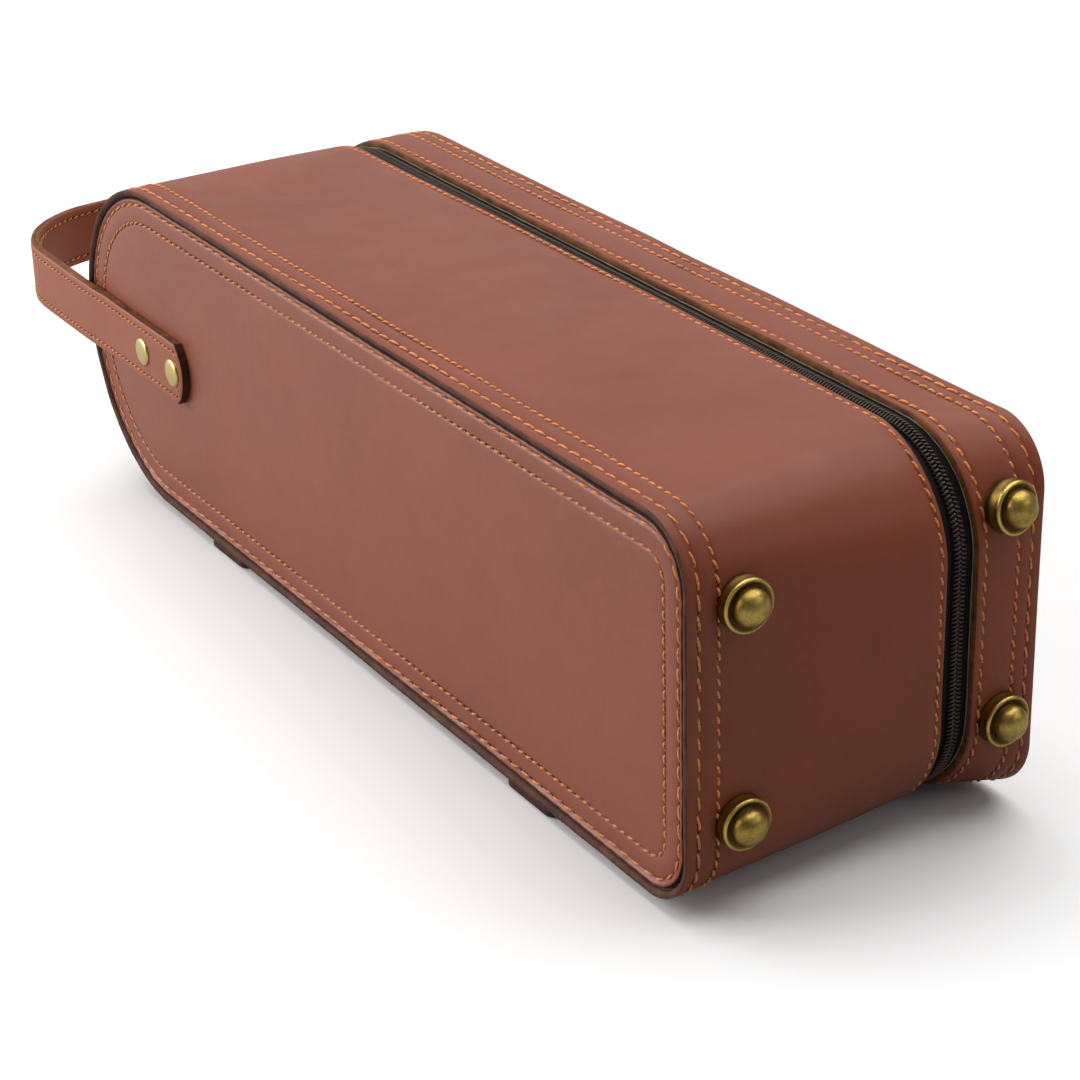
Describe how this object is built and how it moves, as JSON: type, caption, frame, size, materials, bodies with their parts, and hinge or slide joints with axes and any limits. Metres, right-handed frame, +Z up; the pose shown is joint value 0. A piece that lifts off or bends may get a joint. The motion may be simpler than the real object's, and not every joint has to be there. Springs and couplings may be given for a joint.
{
  "type": "rigid leather bottle case",
  "caption": "Rigid leather carrying case with a round top end, a zipped hinged lid, a riveted strap handle and domed metal feet.",
  "frame": {"origin": "on the rest plane, at the middle of the underside strap nearer the round end, under the middle of the case's depth", "axes": "+X from the round top end and handle towards the base with the feet, -Y the front face, +Y the lid, +Z up from the face the case lies on"},
  "size_m": [0.4123, 0.1114, 0.1023],
  "materials": {
    "case_leather": "smooth chestnut brown leather with a soft sheen",
    "strap_leather": "smooth chestnut brown leather with dyed raw edges",
    "suede_lining": "tan microsuede lining",
    "stiff_board": "plain stiffener board",
    "zip_tape": "dark brown woven tape",
    "zip_coil": "dark brown nylon coil",
    "zip_metal": "antique brass",
    "foot_brass": "antique brass, dark in the recesses",
    "rivet_brass": "pale polished brass",
    "washer_steel": "plain steel",
    "thread": "waxed orange-tan thread"
  },
  "bodies": {
    "case": {"front_panel": "case_leather", "front_board": "stiff_board", "front_lining": "suede_lining", "case_gusset": "case_leather", "case_gusset_board": "stiff_board", "case_gusset_lining": "suede_lining", "zip_tape_case": "zip_tape", "zip_coil_case": "zip_coil", "hinge_strip_case": "case_leather", "foot_front_upper": "foot_brass", "foot_front_lower": "foot_brass", "foot_washers_case": "washer_steel", "handle_lining_case": "strap_leather", "handle_outer_case": "strap_leather", "handle_rivets_case": "rivet_brass", "handle_rivet_backs_case": "washer_steel", "underside_strap_near": "strap_leather", "underside_strap_far": "strap_leather", "strap_rivets": "foot_brass", "strap_rivet_backs": "washer_steel"},
    "lid": {"rear_panel": "case_leather", "rear_board": "stiff_board", "rear_lining": "suede_lining", "lid_gusset": "case_leather", "lid_gusset_board": "stiff_board", "lid_gusset_lining": "suede_lining", "zip_tape_lid": "zip_tape", "zip_coil_lid": "zip_coil", "hinge_strip_lid": "case_leather", "foot_rear_upper": "foot_brass", "foot_rear_lower": "foot_brass", "foot_washers_lid": "washer_steel", "handle_lining_lid": "strap_leather", "handle_outer_lid": "strap_leather", "handle_rivets_lid": "rivet_brass", "handle_rivet_backs_lid": "washer_steel"},
    "slider": {"zip_slider": "zip_metal"},
    "puller": {"zip_puller": "zip_metal"}
  },
  "joints": [
    {"name": "lid_hinge", "type": "hinge", "parent": "case", "child": "lid", "pos_m": [0.0875, 0.02765, 0], "axis": [-1, 0, 0], "range_deg": [0, 70]},
    {"name": "slider_travel", "type": "hinge", "parent": "case", "child": "slider", "pos_m": [-0.04, 0.02765, 0.0523], "axis": [0, 1, 0], "range_deg": [-35, 85]},
    {"name": "puller_swing", "type": "hinge", "parent": "slider", "child": "puller", "pos_m": [-0.0914, 0.02765, 0.0523], "axis": [0, 1, 0], "range_deg": [0, 170]}
  ]
}
